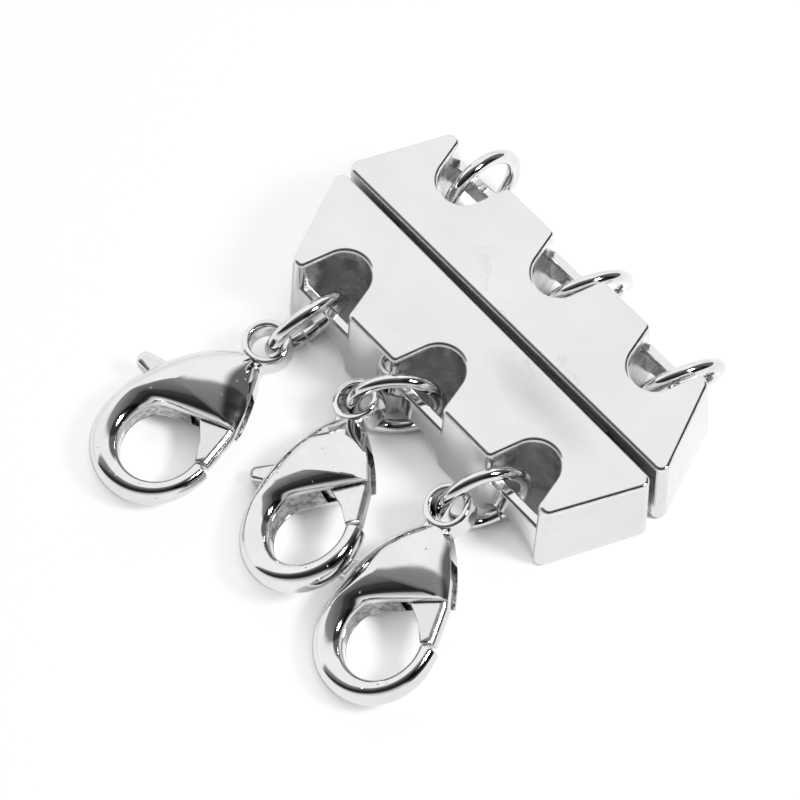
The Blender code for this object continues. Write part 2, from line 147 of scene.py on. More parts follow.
# The nose gets narrower and thinner towards its end, and its last rings round it off
NOSE_TAPER = 0.14
NOSE_TAPER_POWER = 6
NOSE_THIN_POWER = 3
NOSE_ROUNDING = (0.98, 0.93, 0.84)
NOSE_STEP = 0.05
# Points and sections of the claw's mesh
OUTER_STEPS = 12
INNER_STEPS = 16
LIP_STEPS = 3
DOME_SECTIONS = 26
RIM_SECTIONS = 14
HOOK_SECTIONS = 64
# The web between neck and eye, and the slot that the lever turns in
NECK_WEB_HALF_THICK = 0.6
NECK_WEB_ROUNDING = 0.22
SLOT_HALF_THICK = 0.58

# The claw's lever
GATE_TIP_X = 6.95
GATE_TIP_LEAN = 0.27
LEVER_HALF_THICK = 0.52
LEVER_EDGE = 0.12
LEVER_OUTER_EDGE = 0.4
LEVER_OUTER_EDGE_RATE = 1.3
TAB_EDGE = 0.3
TAB_START_Y = -2.9
LEVER_EDGE_STEPS = 6
LEVER_CORNER_STEPS = 6

# Middle and axis of each jump ring
FRONT_RINGS = (
    (Vector((-7.88, -6.42, 2.69)), Vector((0.98, -0.087, -0.178))),
    (Vector((-1.2, -5.99, 2.72)), Vector((0.758, -0.645, 0.095))),
    (Vector((6.03, -6.22, 2.79)), Vector((0.921, -0.382, 0.076))),
)
BACK_RINGS = (
    (Vector((-7.67, 5.82, 2.74)), Vector((0.991, -0.018, 0.133))),
    (Vector((0.83, 5.69, 3.0)), Vector((0.916, -0.372, -0.147))),
    (Vector((7.97, 5.81, 3.11)), Vector((0.92, -0.33, -0.213))),
)
# Origin, heading, tip-down pitch and roll of each claw, angles in degrees
CLAWS = (
    (Vector((-8.34, -8.96, 2.0)), -90.5, 4.0, 1.8),
    (Vector((-2.38, -7.52, 2.15)), -64.3, 0.0, 21.0),
    (Vector((5.72, -8.38, 3.06)), -71.8, 10.0, 13.8),
)

# Camera, measured from the photograph's straight edges
CAMERA_AZIMUTH = 48.344
CAMERA_ELEVATION = 63.891
CAMERA_DISTANCE = 400.0
CAMERA_TARGET = Vector((-2.211, -4.837, 0.047))
CAMERA_LENS = 338.1
SENSOR_WIDTH = 36.0
CLIP_START = 0.01
CLIP_END = 10.0

# The studio's dark side, to the right of the camera
DARK_SIDE_AZIMUTH = 132.0
DARK_SIDE_ELEVATION = 28.0
DARK_SIDE_REACH = 54.0
DARK_SIDE_CORE = 43.0
DARK_SIDE_LEVEL = 0.14
# Brightness of the studio by its tilt towards the camera, in degrees from straight up
STUDIO_LEVELS = (
    (-90, 0.95), (-60, 1.08), (-20, 1.08), (-15, 0.28), (6, 0.15), (17, 0.05), (45, 0.02), (58, 0.04),
    (70, 0.5), (90, 0.95),
)
# Key light, in degrees, metres and watts
KEY_AZIMUTH = 120
KEY_ELEVATION = 52
KEY_DISTANCE = 0.3
KEY_SIZE = 0.07
KEY_POWER = 0.95
# Floor, in metres: it glows as seen by the camera and by the metal, less where the clasp shades it
FLOOR_HALF = 2.0
FLOOR_DROP = 0.00002
FLOOR_GREY = 0.9
FLOOR_GLOW = 0.88
SHADE_REACH = 0.005
SHADE_SAMPLES = 8
SHADE_RANGE = (0.2, 0.65)
# Seen in the metal, the floor is dimmer to the left of this stretch of X than to its right
BRIGHT_END = (0.008, 0.0115)
DIM_FLOOR_SHARE = 0.45

SILVER = (0.77, 0.77, 0.775)
# A darker patch painted on the front bar's plate, between its right notch and the seam: a painted dim
# reflection
DIM_REFLECTION_PLACE = Vector((5.2, -1.5, 6.0))
DIM_REFLECTION_SHAPE = (0.36, 1.1, 0.0)
DIM_REFLECTION_EDGE = (-0.0016, 0.0002)
DIM_REFLECTION_RAGGEDNESS = 0.003
DIM_REFLECTION_TONE = 0.74
# Faces with more corners than this are flat caps
LARGEST_SMOOTH_FACE = 20
# How far large faces set the shading at their edges
FLAT_FACE_WEIGHT = 80
ROUNDING_STEPS = 5
# Edges sharper than these angles stay crisp, or are rounded
BAR_SHARP_ANGLE = 38
CLAW_SHARP_ANGLE = 42
LEVER_SHARP_ANGLE = 50
ROUNDED_EDGE_ANGLE = 50


def seam_middle():
    """Where the design's origin lies in the CAD frame: the front bar's mating face, in the middle."""
    low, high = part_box("front_bar")
    return Vector(((low.x + high.x) / 2, high.y, 0))


SEAM_MIDDLE = seam_middle()


def in_frame(matrix):
    """A place in the design, in millimetres, as a matrix that puts a millimetre mesh into the CAD frame."""
    return Matrix.Translation(SEAM_MIDDLE) @ Matrix.Scale(MM, 4) @ matrix


def toward(azimuth, elevation):
    """Unit vector towards a place in the studio, with azimuth 0 in front of the claws."""
    around = math.radians(azimuth)
    up = math.radians(elevation)
    return Vector((math.sin(around) * math.cos(up), -math.cos(around) * math.cos(up), math.sin(up)))


# Materials; pattern scales are per metre, and bump distances in metres

class NodeTree:
    """Short way to write a shader's node tree."""

    def __init__(self, owner):
        owner.use_nodes = True
        self.tree = owner.node_tree

    def add(self, kind, inputs=None, **settings):
        """A node whose inputs are values or other nodes' outputs."""
        node = self.tree.nodes.new(kind)
        for key, value in settings.items():
            setattr(node, key, value)
        for key, value in (inputs or {}).items():
            if isinstance(value, bpy.types.NodeSocket):
                self.tree.links.new(value, node.inputs[key])
            else:
                node.inputs[key].default_value = value
        return node

    def calculate(self, operation, *values, **settings):
        inputs = dict(enumerate(values))
        return self.add("ShaderNodeMath", inputs, operation=operation, **settings).outputs[0]

    def vector(self, operation, *values):
        node = self.add("ShaderNodeVectorMath", dict(enumerate(values)), operation=operation)
        return node.outputs["Value" if operation in ("LENGTH", "DOT_PRODUCT") else "Vector"]

    def spread(self, value, low, high, to_low, to_high, **settings):
        """The value's range from low to high, carried over to another range."""
        inputs = {"Value": value, "From Min": low, "From Max": high, "To Min": to_low, "To Max": to_high}
        return self.add("ShaderNodeMapRange", inputs, **settings).outputs["Result"]


class Metal(NodeTree):
    """A metal finish that lies on its piece by the piece's own coordinates."""

    def __init__(self, name):
        self.material = bpy.data.materials.new(name)
        super().__init__(self.material)
        self.shader = self.tree.nodes["Principled BSDF"]
        self.place = self.add("ShaderNodeTexCoord").outputs["Object"]

    def noise(self, scale, detail, roughness, stretch=None):
        place = self.place
        if stretch:
            place = self.add("ShaderNodeMapping", {"Vector": place, "Scale": stretch}).outputs["Vector"]
        inputs = {"Vector": place, "Scale": scale, "Detail": detail, "Roughness": roughness}
        return self.add("ShaderNodeTexNoise", inputs).outputs["Fac"]

    def mix_colour(self, share, first, second):
        """A mix of two colours, each a plain one or another node's output."""
        node = self.add("ShaderNodeMix", {"Factor": share}, data_type="RGBA")
        sockets = [socket for socket in node.inputs if socket.type == "RGBA"]
        for socket, colour in zip(sockets, (first, second)):
            if isinstance(colour, bpy.types.NodeSocket):
                self.tree.links.new(colour, socket)
            else:
                socket.default_value = (*colour, 1)
        return next(socket for socket in node.outputs if socket.type == "RGBA")

    def silver(self, share, low, high):
        """The silver's tone, from a low to a high multiple of it."""
        return self.mix_colour(share, scaled(SILVER, low), scaled(SILVER, high))

    def bump(self, height, distance, strength, before=None):
        inputs = {"Height": height, "Distance": distance, "Strength": strength}
        if before is not None:
            inputs["Normal"] = before
        return self.add("ShaderNodeBump", inputs).outputs["Normal"]

    def finish(self, colour, roughness, normal):
        self.shader.inputs["Metallic"].default_value = 1.0
        self.tree.links.new(colour, self.shader.inputs["Base Color"])
        self.tree.links.new(roughness, self.shader.inputs["Roughness"])
        self.tree.links.new(normal, self.shader.inputs["Normal"])
        return self.material


def scaled(colour, factor):
    return tuple(part * factor for part in colour)


def plated_bar_material():
    """Mirror plate on a cast bar: soft waves, smudges, a few crinkles, a painted dim reflection and fine
    wipes.
    """
    nodes = Metal("plated_bar")
    smudge = nodes.noise(220, 4, 0.6)
    crinkle = nodes.noise(150, 6, 0.62)
    line = nodes.spread(nodes.calculate("SUBTRACT", crinkle, 0.5), -0.012, 0.012, -1, 1)
    ridge = nodes.calculate("POWER", line, 2.0)
    place = nodes.spread(nodes.noise(95, 1, 0.4), 0.55, 0.66, 1.0, 0.0)
    mark = nodes.calculate("MAXIMUM", ridge, place, use_clamp=True)
    tone = nodes.spread(smudge, 0.38, 0.68, 0.55, 1)
    plate = nodes.silver(nodes.calculate("MULTIPLY", mark, tone), 0.9, 1.03)
    # Painted dim reflection: the plate's colour darkens in one patch on the front bar's top
    from_dim_reflection = nodes.vector("SUBTRACT", nodes.place, SEAM_MIDDLE + DIM_REFLECTION_PLACE * MM)
    away = nodes.vector("LENGTH", nodes.vector("MULTIPLY", from_dim_reflection, DIM_REFLECTION_SHAPE))
    ragged = nodes.calculate("MULTIPLY_ADD", smudge, -DIM_REFLECTION_RAGGEDNESS, away)
    painted_dim_reflection = nodes.spread(ragged, *DIM_REFLECTION_EDGE, 1.0, 0.0)
    colour = nodes.mix_colour(painted_dim_reflection, plate, scaled(SILVER, DIM_REFLECTION_TONE))
    wipes = nodes.noise(900, 3, 0.6, stretch=(0.35, 2.0, 1.0))
    roughness = nodes.spread(wipes, 0.35, 0.75, 0.07, 0.13)
    waves = nodes.bump(nodes.noise(120, 1, 0.4), 0.00004, 0.6)
    dents = nodes.bump(mark, 0.000006, 0.4, waves)
    fine = nodes.bump(nodes.noise(1500, 2, 0.5), 0.000002, 0.3, dents)
    return nodes.finish(colour, roughness, fine)


def cloudy_lightened_notch_material():
    """The plate inside a notch, clouded where the polishing wheel can't reach, with painted light: its
    colour is lifted above the plate's to brighten the notch's shade.
    """
    nodes = Metal("cloudy_lightened_notch")
    cloud = nodes.noise(650, 5, 0.65)
    # Painted light: up to 1.28 times the silver, lighter than the plate
    colour = nodes.silver(nodes.spread(cloud, 0.4, 0.62, 0, 1), 0.9, 1.28)
    roughness = nodes.spread(cloud, 0.35, 0.68, 0.16, 0.34)
    normal = nodes.bump(cloud, 0.00009, 0.55)
    return nodes.finish(colour, roughness, normal)


def burnished_highlight_edge_material():
    """The bars' rounded top edges, rubbed softer than the mirror plate by the buffing wheel, with a painted
    highlight: their colour is lighter than the plate's.
    """
    nodes = Metal("burnished_highlight_edge")
    rub = nodes.noise(900, 3, 0.6)
    # Painted highlight: 1.15 to 1.28 times the silver, lighter than the plate
    colour = nodes.silver(nodes.spread(rub, 0.35, 0.7, 0, 1), 1.15, 1.28)
    roughness = nodes.spread(rub, 0.35, 0.7, 0.38, 0.5)
    normal = nodes.bump(rub, 0.00001, 0.4)
    return nodes.finish(colour, roughness, normal)


def ground_seam_material():
    """The mating face, ground flat: fine straight lines along the seam."""
    nodes = Metal("ground_seam")
    lines = nodes.noise(260, 3, 0.7, stretch=(0.02, 1.0, 14.0))
    colour = nodes.silver(nodes.spread(lines, 0.35, 0.65, 0, 1), 0.5, 1.15)
    roughness = nodes.spread(lines, 0.35, 0.65, 0.5, 0.35)
    normal = nodes.bump(lines, 0.00004, 0.6)
    return nodes.finish(colour, roughness, normal)


def plated_claw_material():
    """Mirror plate on a cast claw: gentle waves and tiny pits in the plate."""
    nodes = Metal("plated_claw")
    tone = nodes.noise(500, 3, 0.5)
    colour = nodes.silver(nodes.spread(tone, 0.35, 0.7, 0, 1), 0.97, 1.04)
    roughness = nodes.spread(nodes.noise(1400, 3, 0.6), 0.35, 0.75, 0.05, 0.12)
    waves = nodes.bump(nodes.noise(380, 2, 0.5), 0.00003, 0.5)
    specks = nodes.add("ShaderNodeTexVoronoi", {"Vector": nodes.place, "Scale": 1500.0}).outputs["Distance"]
    pit = nodes.spread(specks, 0.0, 0.075, 1.0, 0.0)
    spots = nodes.bump(pit, 0.00004, 0.9, waves)
    return nodes.finish(colour, roughness, spots)


def cast_wall_material():
    """The claw's inner wall, plated over a rougher casting, and darker than the plate."""
    nodes = Metal("cast_wall")
    grain = nodes.noise(3200, 4, 0.6)
    colour = nodes.silver(nodes.spread(grain, 0.38, 0.62, 0, 1), 0.34, 0.8)
    roughness = nodes.spread(grain, 0.3, 0.7, 0.22, 0.36)
    normal = nodes.bump(nodes.noise(1700, 4, 0.6), 0.00005, 0.7)
    return nodes.finish(colour, roughness, normal)


def satin_lever_material():
    """The lever's thin plate over fine grinding: a soft shine with a faint grain."""
    nodes = Metal("satin_lever")
    grain = nodes.noise(2600, 4, 0.6)
    colour = nodes.silver(nodes.spread(grain, 0.35, 0.7, 0, 1), 0.96, 1.06)
    roughness = nodes.spread(grain, 0.3, 0.7, 0.14, 0.26)
    normal = nodes.bump(nodes.noise(1900, 4, 0.6), 0.000004, 0.3)
    return nodes.finish(colour, roughness, normal)


def plated_wire_material():
    """Plated wire with fine draw marks."""
    nodes = Metal("plated_wire")
    marks = nodes.noise(1500, 3, 0.6)
    colour = nodes.silver(nodes.spread(marks, 0.35, 0.7, 0, 1), 0.97, 1.06)
    roughness = nodes.spread(marks, 0.35, 0.75, 0.05, 0.13)
    normal = nodes.bump(nodes.noise(700, 2, 0.5), 0.00002, 0.4)
    return nodes.finish(colour, roughness, normal)


def lined_magnet_material():
    """Nickel-plated magnet, with fine grinding lines that run along the seam."""
    nodes = Metal("lined_magnet")
    lines = nodes.noise(330, 3, 0.7, stretch=(0.015, 1.0, 14.0))
    colour = nodes.mix_colour(nodes.spread(lines, 0.36, 0.64, 0, 1), (0.10, 0.10, 0.11), (0.52, 0.52, 0.54))
    roughness = nodes.spread(lines, 0.35, 0.65, 0.38, 0.26)
    normal = nodes.bump(lines, 0.00002, 0.5)
    return nodes.finish(colour, roughness, normal)


# Mesh helpers

def between(first, second, share):
    return first + (second - first) * share


def rounded_power(value, roundness):
    return math.copysign(abs(value) ** roundness, value)


def rounded_outline(corners, steps):
    """Points of a closed outline whose (x, y, radius) corners are replaced by arcs."""
    points = []
    for index, (x, y, radius) in enumerate(corners):
        corner = Vector((x, y))
        if radius == 0:
            points.append(corner)
            continue
        before = Vector(corners[index - 1][:2]) - corner
        after = Vector(corners[(index + 1) % len(corners)][:2]) - corner
        half_angle = before.angle(after) / 2
        to_middle = (before.normalized() + after.normalized()).normalized()
        middle = corner + to_middle * radius / math.sin(half_angle)
        start = corner + before.normalized() * radius / math.tan(half_angle) - middle
        finish = corner + after.normalized() * radius / math.tan(half_angle) - middle
        turn = math.atan2(start.x * finish.y - start.y * finish.x, start.dot(finish))
        for step in range(steps + 1):
            points.append(middle + Matrix.Rotation(turn * step / steps, 2) @ start)
    return points


def inset_outline(points, distance):
    """The counter-clockwise outline moved inwards by a distance, with mitred corners."""
    moved = []
    for index, point in enumerate(points):
        before = (point - points[index - 1]).normalized()
        after = (points[(index + 1) % len(points)] - point).normalized()
        normals = Vector((-before.y, before.x)) + Vector((-after.y, after.x))
        moved.append(point + normals * 2 * distance / normals.length_squared)
    return moved


def bridge_rings(shape, rings, closed=False):
    """Faces between rings of vertices, with the two ends capped unless the rings close on themselves."""
    count = len(rings)
    faces = []
    for index in range(count if closed else count - 1):
        lower = rings[index]
        upper = rings[(index + 1) % count]
        for side in range(len(lower)):
            after = (side + 1) % len(lower)
            faces.append(shape.faces.new((lower[side], lower[after], upper[after], upper[side])))
    if not closed:
        shape.faces.new(rings[0])
        shape.faces.new(rings[-1])
    return faces


def linked_object(name, data):
    item = bpy.data.objects.new(name, data)
    bpy.context.scene.collection.objects.link(item)
    return item


def object_from_bmesh(name, shape, material):
    """A linked object at the origin, with its faces outward."""
    bmesh.ops.recalc_face_normals(shape, faces=shape.faces)
    mesh = bpy.data.meshes.new(name)
    shape.to_mesh(mesh)
    shape.free()
    mesh.materials.append(material)
    return linked_object(name, mesh)


def combine(target, tool, operation):
    boolean = target.modifiers.new(tool.name, "BOOLEAN")
    boolean.operation = operation
    boolean.solver = "EXACT"
    boolean.material_mode = "TRANSFER"
    boolean.object = tool


def round_edges(item, width):
    bevel = item.modifiers.new("edges", "BEVEL")
    bevel.width = width
    bevel.segments = ROUNDING_STEPS
    bevel.limit_method = "ANGLE"
    bevel.angle_limit = math.radians(ROUNDED_EDGE_ANGLE)


def smooth_mesh(item, name, sharp_angle):
    """The object's finished mesh, smooth on its curves and true on its flats."""
    graph = bpy.context.evaluated_depsgraph_get()
    mesh = bpy.data.meshes.new_from_object(item.evaluated_get(graph))
    mesh.name = name
    mesh.shade_smooth()
    mesh.set_sharp_from_angle(angle=math.radians(sharp_angle))
    for polygon in mesh.polygons:
        polygon.use_smooth = len(polygon.vertices) <= LARGEST_SMOOTH_FACE
    helper = linked_object(name + "_normals", mesh)
    weighted = helper.modifiers.new("normals", "WEIGHTED_NORMAL")
    weighted.keep_sharp = True
    weighted.weight = FLAT_FACE_WEIGHT
    graph = bpy.context.evaluated_depsgraph_get()
    finished = bpy.data.meshes.new_from_object(helper.evaluated_get(graph))
    finished.name = name
    bpy.data.objects.remove(helper, do_unlink=True)
    return finished


def remove_all(items):
    for item in items:
        bpy.data.objects.remove(item, do_unlink=True)


def finished_piece(name, mesh, matrix, body, slot, *nodes):
    """One piece in the CAD frame, riding on its body and standing for its CAD nodes."""
    placed = mesh.copy()
    placed.name = name
    placed.transform(in_frame(matrix))
    item = linked_object(name, placed)
    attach(item, body)
    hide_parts(*nodes)


# Bars

def notch_corners(middle_x):
    """Corners of one notch, from its right lip to its left lip."""
    centre = Vector((middle_x, BAR_WIDTH - NOTCH_DEPTH + NOTCH_RADIUS))
    to_lip = Vector((MOUTH_HALF, BAR_WIDTH - centre.y))
    tangent = math.atan2(to_lip.y, to_lip.x) - math.acos(NOTCH_RADIUS / to_lip.length)
    corners = [(middle_x + MOUTH_HALF, BAR_WIDTH, LIP_CORNER_RADIUS)]
    sweep = -math.pi - 2 * tangent
    for step in range(NOTCH_STEPS + 1):
        angle = tangent + sweep * step / NOTCH_STEPS
        x = centre.x + NOTCH_RADIUS * math.cos(angle)
        corners.append((x, centre.y + NOTCH_RADIUS * math.sin(angle), 0))
    corners.append((middle_x - MOUTH_HALF, BAR_WIDTH, LIP_CORNER_RADIUS))
    return corners


def notch_middles():
    return [(index - (NOTCH_COUNT - 1) / 2) * NOTCH_PITCH for index in range(NOTCH_COUNT)]


def bar_outline():
    half = SEAM_LENGTH / 2
    corners = [
        (-half, 0, SEAM_CORNER_RADIUS),
        (half, 0, SEAM_CORNER_RADIUS),
        (half - END_INSET, BAR_WIDTH, END_CORNER_RADIUS),
    ]
    for middle_x in reversed(notch_middles()):
        corners += notch_corners(middle_x)
    corners.append((-half + END_INSET, BAR_WIDTH, END_CORNER_RADIUS))
    return rounded_outline(corners, CORNER_STEPS)


def edge_levels():
    """Heights and insets that round the bottom and top edges of a bar."""
    angles = [math.pi / 2 * step / EDGE_STEPS for step in range(EDGE_STEPS + 1)]
    levels = []
    for angle in angles:
        height = BOTTOM_EDGE_RADIUS * (1 - math.cos(angle))
        levels.append((height, BOTTOM_EDGE_RADIUS * (1 - math.sin(angle))))
    for angle in angles:
        height = BAR_HEIGHT - TOP_EDGE_RADIUS * (1 - math.sin(angle))
        levels.append((height, TOP_EDGE_RADIUS * (1 - math.cos(angle))))
    return levels


def drafted(point, height):
    """Lean the outer face outwards towards the bottom, and leave the rest of the bar upright."""
    lean_start = BAR_WIDTH - NOTCH_DEPTH / 2
    share = max(0.0, (point.y - lean_start) / (BAR_WIDTH - lean_start))
    return Vector((point.x, point.y + FACE_DRAFT * share * (1 - height / BAR_HEIGHT), height))


def bar_body(plate, wall, seam, edge):
    """The bar without its crossbars; its notch walls, mating face and top edges have their own finishes,
    with painted light on the notch walls and a painted highlight on the top edges.
    """
    shape = bmesh.new()
    outline = bar_outline()
    rings = []
    for height, inset in edge_levels():
        rings.append([shape.verts.new(drafted(point, height)) for point in inset_outline(outline, inset)])
    notch_reach = NOTCH_PITCH + MOUTH_HALF
    notch_front = BAR_WIDTH - LIP_CORNER_RADIUS
    side_level = EDGE_STEPS
    for index, face in enumerate(bridge_rings(shape, rings)):
        level = index // len(outline)
        middle = face.calc_center_median()
        in_notch = abs(middle.x) < notch_reach and SEAM_CORNER_RADIUS < middle.y < notch_front
        if side_level < level <= side_level + BURNISHED_HIGHLIGHT_STEPS:
            face.material_index = EDGE_SLOT
        elif level == side_level and in_notch:
            face.material_index = WALL_SLOT
        elif level == side_level and middle.y < SEAM_FLATNESS:
            face.material_index = SEAM_SLOT
    item = object_from_bmesh("bar_body", shape, plate)
    for finish in (wall, seam, edge):
        item.data.materials.append(finish)
    return item


def crossbar(name, middle_x, material):
    """Crossbar over a notch's mouth, with an arch under it that runs down into both teeth."""
    half = MOUTH_HALF + CROSSBAR_BURIED
    profile = [(half, CROSSBAR_TOP), (-half, CROSSBAR_TOP), (-half, ARCH_FOOT)]
    arch_height = CROSSBAR_BOTTOM - ARCH_FOOT
    for side in (-1, 1):
        for step in range(ARCH_STEPS + 1):
            angle = math.pi / 2 * (step if side < 0 else ARCH_STEPS - step) / ARCH_STEPS
            x = side * (MOUTH_HALF - ARCH_CORNER * (1 - math.cos(angle)))
            profile.append((x, ARCH_FOOT + arch_height * math.sin(angle)))
    profile.append((half, ARCH_FOOT))
    shape = bmesh.new()
    rings = []
    for depth in (CROSSBAR_SET_BACK, CROSSBAR_DEPTH):
        ring = []
        for x, z in profile:
            outer_y = BAR_WIDTH + FACE_DRAFT * (1 - z / BAR_HEIGHT)
            ring.append(shape.verts.new((middle_x + x, outer_y - depth, z)))
        rings.append(ring)
    bridge_rings(shape, rings)
    item = object_from_bmesh(name, shape, material)
    round_edges(item, CROSSBAR_ROUNDING)
    return item


def block(name, size, middle, material):
    shape = bmesh.new()
    bmesh.ops.create_cube(shape, size=1.0)
    bmesh.ops.scale(shape, vec=size, verts=shape.verts)
    bmesh.ops.translate(shape, vec=middle, verts=shape.verts)
    return object_from_bmesh(name, shape, material)


def bar_mesh(material, wall, seam, edge):
    body = bar_body(material, wall, seam, edge)
    tools = []
    for index, middle_x in enumerate(notch_middles()):
        tools.append(crossbar("crossbar_%d" % index, middle_x, material))
        combine(body, tools[-1], "UNION")
    pocket_middle = Vector((0, POCKET_SIZE.y / 2 - POCKET_PROUD, POCKET_MIDDLE_Z))
    tools.append(block("pocket", POCKET_SIZE, pocket_middle, material))
    combine(body, tools[-1], "DIFFERENCE")
    mesh = smooth_mesh(body, "bar", BAR_SHARP_ANGLE)
    remove_all([body] + tools)
    return mesh


def front_place():
    return Matrix.Rotation(math.pi, 4, "Z")


def back_place():
    """The back bar lies a little askew, so that its seam is wider at the right-hand end."""
    yaw = (SEAM_GAP_RIGHT - SEAM_GAP_LEFT) / SEAM_LENGTH
    middle_gap = (SEAM_GAP_LEFT + SEAM_GAP_RIGHT) / 2
    return Matrix.Translation((0, middle_gap, 0)) @ Matrix.Rotation(yaw, 4, "Z")


# Jump rings, made by a node tree

def link_tree(material):
    """Node tree that puts a cut wire ring on each point, square to the point's axis attribute."""
    tree = bpy.data.node_groups.new("jump_ring_links", "GeometryNodeTree")
    face = tree.interface
    face.new_socket("Geometry", in_out="INPUT", socket_type="NodeSocketGeometry")
    sizes = (("Ring Radius", RING_RADIUS), ("Wire Radius", WIRE_RADIUS), ("Sweep Angle", 2 * math.pi))
    for name, value in sizes:
        face.new_socket(name, in_out="INPUT", socket_type="NodeSocketFloat").default_value = value
    face.new_socket("Geometry", in_out="OUTPUT", socket_type="NodeSocketGeometry")
    add = tree.nodes.new
    link = tree.links.new
    source = add("NodeGroupInput")
    arc = add("GeometryNodeCurveArc")
    arc.mode = "RADIUS"
    arc.inputs["Resolution"].default_value = RING_STEPS
    link(source.outputs["Ring Radius"], arc.inputs["Radius"])
    link(source.outputs["Sweep Angle"], arc.inputs["Sweep Angle"])
    wire = add("GeometryNodeCurvePrimitiveCircle")
    wire.inputs["Resolution"].default_value = WIRE_STEPS
    link(source.outputs["Wire Radius"], wire.inputs["Radius"])
    sweep = add("GeometryNodeCurveToMesh")
    sweep.inputs["Fill Caps"].default_value = True
    link(arc.outputs["Curve"], sweep.inputs["Curve"])
    link(wire.outputs["Curve"], sweep.inputs["Profile Curve"])
    axis = add("GeometryNodeInputNamedAttribute")
    axis.data_type = "FLOAT_VECTOR"
    axis.inputs["Name"].default_value = "axis"
    align = add("FunctionNodeAlignRotationToVector")
    align.axis = "Z"
    link(axis.outputs["Attribute"], align.inputs["Vector"])
    points = add("GeometryNodeMeshToPoints")
    link(source.outputs["Geometry"], points.inputs["Mesh"])
    copies = add("GeometryNodeInstanceOnPoints")
    link(points.outputs["Points"], copies.inputs["Points"])
    link(sweep.outputs["Mesh"], copies.inputs["Instance"])
    link(align.outputs["Rotation"], copies.inputs["Rotation"])
    real = add("GeometryNodeRealizeInstances")
    link(copies.outputs["Instances"], real.inputs["Geometry"])
    smooth = add("GeometryNodeSetShadeSmooth")
    link(real.outputs["Geometry"], smooth.inputs["Geometry"])
    finish = add("GeometryNodeSetMaterial")
    finish.inputs["Material"].default_value = material
    link(smooth.outputs["Geometry"], finish.inputs["Geometry"])
    out = add("NodeGroupOutput")
    link(finish.outputs["Geometry"], out.inputs["Geometry"])
    return tree


def set_input(modifier, name, value):
    for socket in modifier.node_group.interface.items_tree:
        if socket.item_type == "SOCKET" and socket.in_out == "INPUT" and socket.name == name:
            modifier[socket.identifier] = value


def ring_row_mesh(name, rings, tree):
    """Mesh of one row of jump rings."""
    mesh = bpy.data.meshes.new(name + "_points")
    mesh.from_pydata([centre for centre, _ in rings], [], [])
    axes = mesh.attributes.new("axis", "FLOAT_VECTOR", "POINT")
    for index, (_, axis) in enumerate(rings):
        axes.data[index].vector = axis
    item = linked_object(name + "_points", mesh)
    modifier = item.modifiers.new("links", "NODES")
    modifier.node_group = tree
    set_input(modifier, "Sweep Angle", math.radians(RING_SWEEP))
    graph = bpy.context.evaluated_depsgraph_get()
    row = bpy.data.meshes.new_from_object(item.evaluated_get(graph))
    bpy.data.objects.remove(item, do_unlink=True)
    return row


# Claws

def teardrop_y(x, widest, fullness):
    """Half-width of the claw's teardrop outline between the neck and the hook's widest place."""
    share = (x - NECK_X) / (HOOK_X - NECK_X)
    return NECK_HALF + (widest - NECK_HALF) * math.sin(math.pi / 2 * share ** fullness)


def on_ellipse(centre, size, degrees):
    angle = math.radians(degrees)
    return Vector((centre.x + size.x * math.cos(angle), centre.y + size.y * math.sin(angle)))


def faired(values, rounds, fixed=()):
    """A row of values with small kinks smoothed out, its ends and the fixed places kept."""
    row = list(values)
    for _ in range(rounds):
        old = list(row)
        for index in range(1, len(row) - 1):
            if index not in fixed:
                row[index] = (old[index - 1] + old[index] * 2 + old[index + 1]) / 4
    return row


def thumb_side_point(x):
    return Vector((x, -teardrop_y(x, HOOK_OUTER.y, THUMB_SIDE_FULLNESS)))


def gate_side_point(x):
    return Vector((x, teardrop_y(x, GATE_SIDE_HALF, GATE_SIDE_FULLNESS)))


